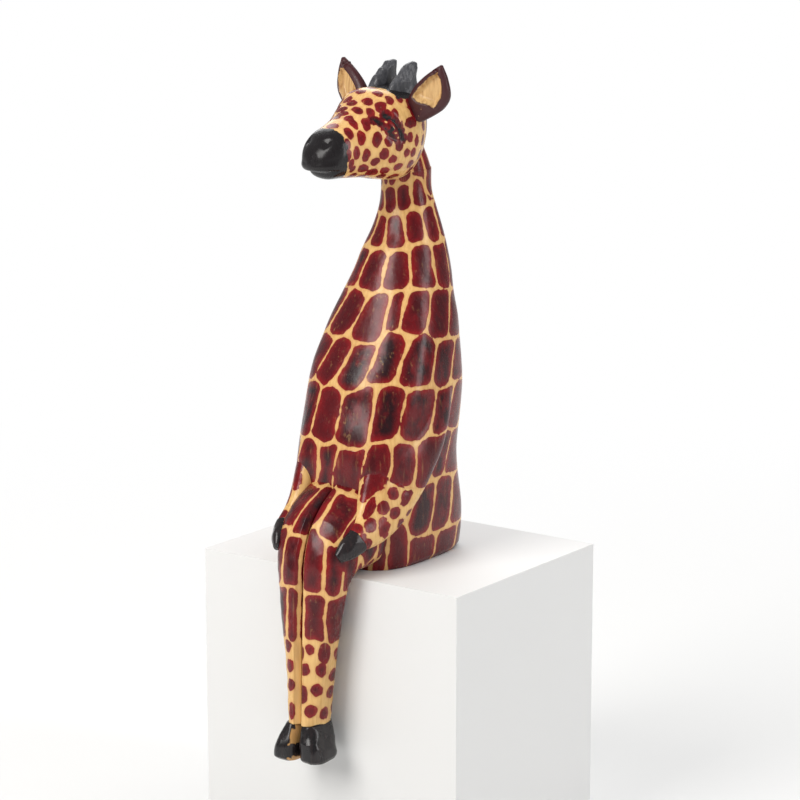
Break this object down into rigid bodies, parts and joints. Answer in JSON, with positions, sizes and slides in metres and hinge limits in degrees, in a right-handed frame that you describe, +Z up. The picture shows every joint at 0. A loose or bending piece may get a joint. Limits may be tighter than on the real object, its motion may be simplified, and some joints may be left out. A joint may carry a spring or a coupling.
{
  "type": "carved giraffe shelf sitter",
  "caption": "Carved and painted wooden giraffe that sits on a shelf edge, with its hind legs hanging down in front.",
  "frame": {"origin": "seat height, on the figure's middle plane; the flat seat rests on a shelf whose front edge is 30 mm ahead of the origin", "axes": "+Z up, the giraffe faces -Y, +X is its left side"},
  "size_m": [0.0554, 0.0881, 0.2478],
  "materials": {
    "painted_coat": "maroon dye patches on pale ochre wood under gloss lacquer",
    "ear_wood": "bare tan wood with a maroon rim, satin",
    "horn_stain": "rough black stain with a dull sheen",
    "black_lacquer": "black paint under gloss lacquer",
    "dowel_wood": "plain unfinished hardwood"
  },
  "bodies": {
    "root": {"body": "painted_coat", "head": "painted_coat", "left_ear": "ear_wood", "right_ear": "ear_wood", "left_horn": "horn_stain", "right_horn": "horn_stain", "left_foreleg": "painted_coat", "right_foreleg": "painted_coat", "left_fore_hoof": "black_lacquer", "right_fore_hoof": "black_lacquer", "left_hind_leg": "painted_coat", "right_hind_leg": "painted_coat", "left_hind_hoof": "black_lacquer", "right_hind_hoof": "black_lacquer", "neck_dowel": "dowel_wood", "ear_pegs": "dowel_wood", "horn_pegs": "dowel_wood", "foreleg_dowels": "dowel_wood", "leg_dowels": "dowel_wood", "hoof_pegs": "dowel_wood"}
  },
  "joints": []
}
